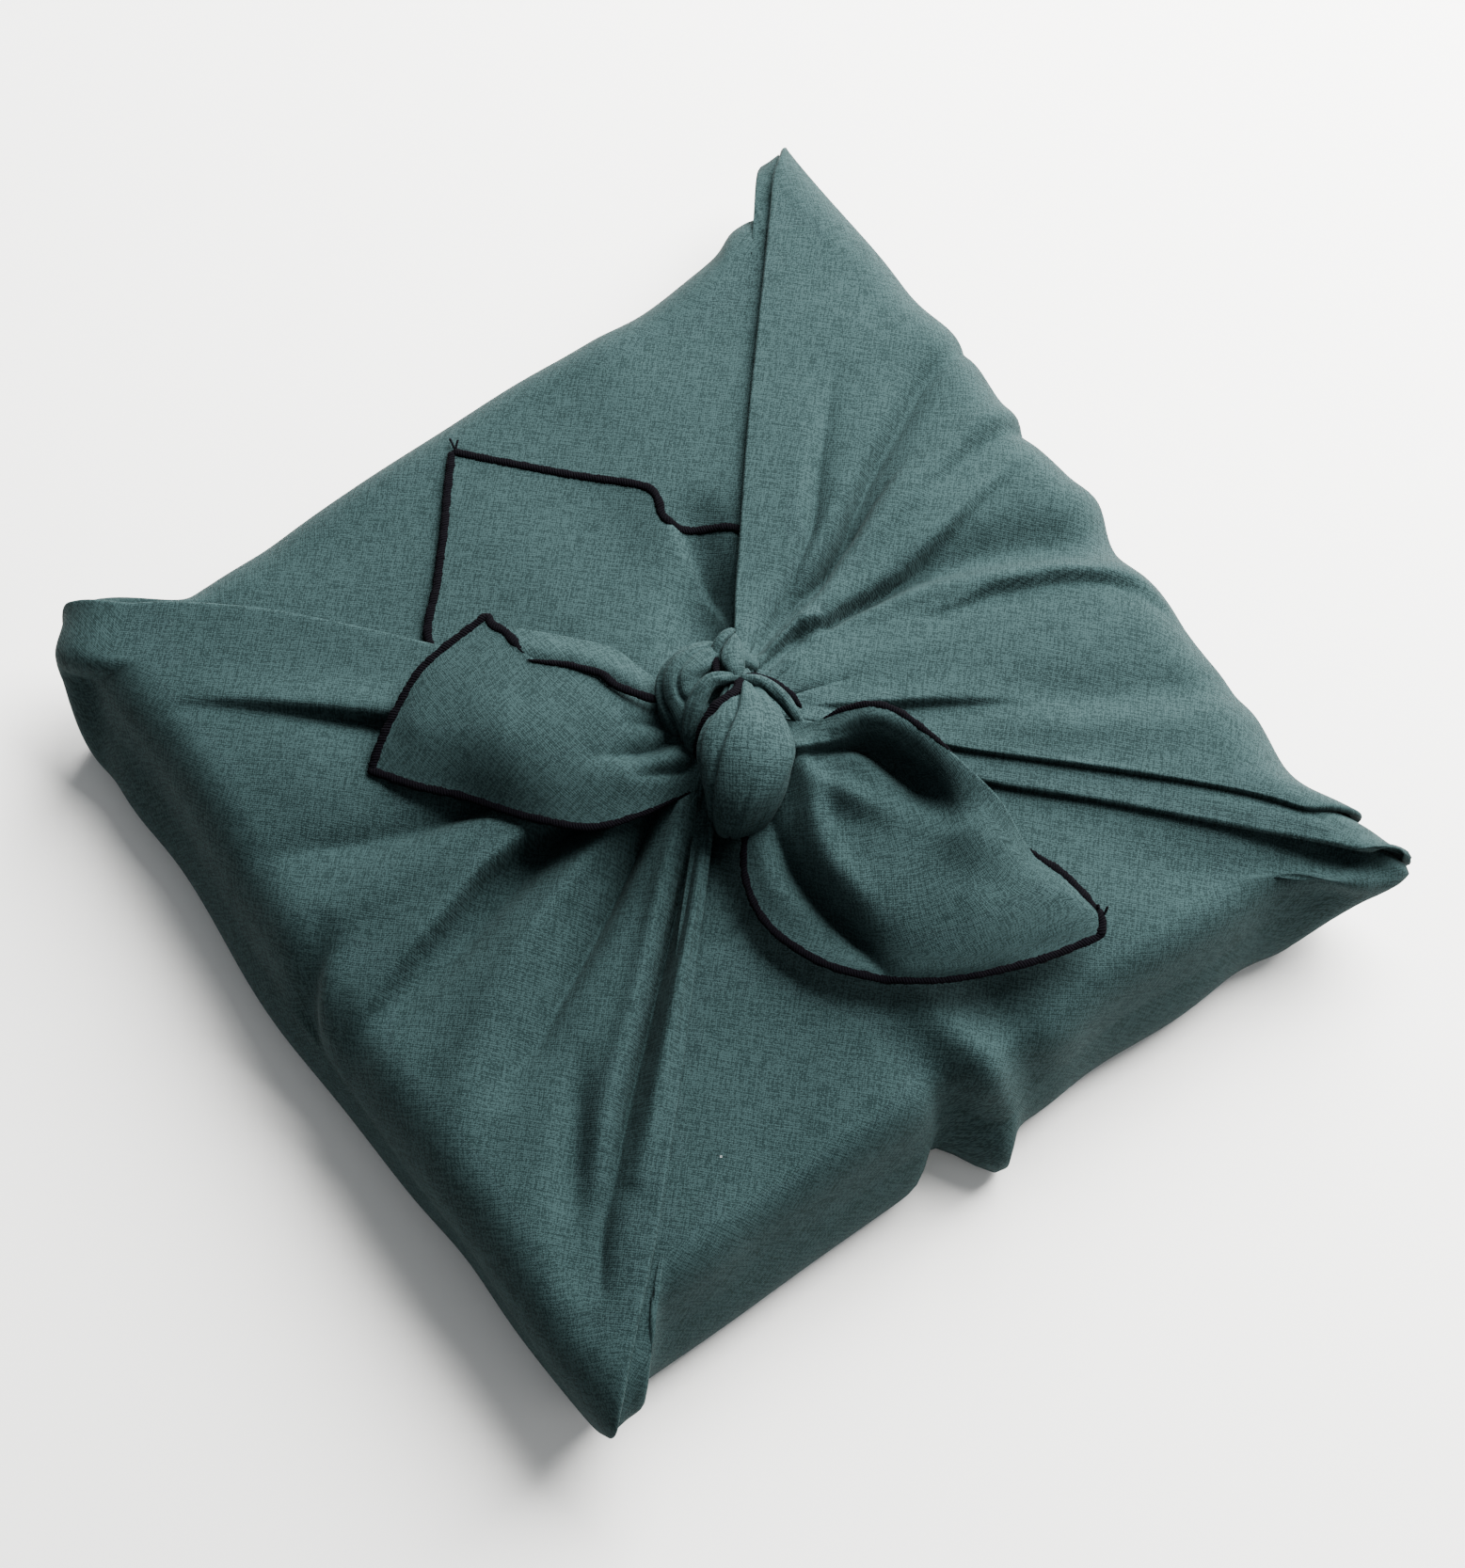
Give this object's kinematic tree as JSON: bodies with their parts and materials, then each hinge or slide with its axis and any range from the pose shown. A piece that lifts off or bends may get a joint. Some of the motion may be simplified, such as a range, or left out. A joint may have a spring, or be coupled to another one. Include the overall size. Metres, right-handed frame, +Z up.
{
  "type": "furoshiki wrap",
  "caption": "Square linen cloth with a dark hem, folded round a flat parcel and tied on top in a square knot with two free ends.",
  "frame": {"origin": "middle of the bounding box in plan, on the surface that the wrap rests on", "axes": "+Z up; the gathered fans come in over the +X and -X sides and the flat panels over the +Y and -Y sides"},
  "size_m": [0.311, 0.324, 0.0899],
  "materials": {
    "linen": "dark green linen in plain weave, soft and matt",
    "hem": "near-black overlocked thread hem, matt and slightly fuzzy"
  },
  "bodies": {
    "root": {"wrap": "linen"}
  },
  "joints": []
}
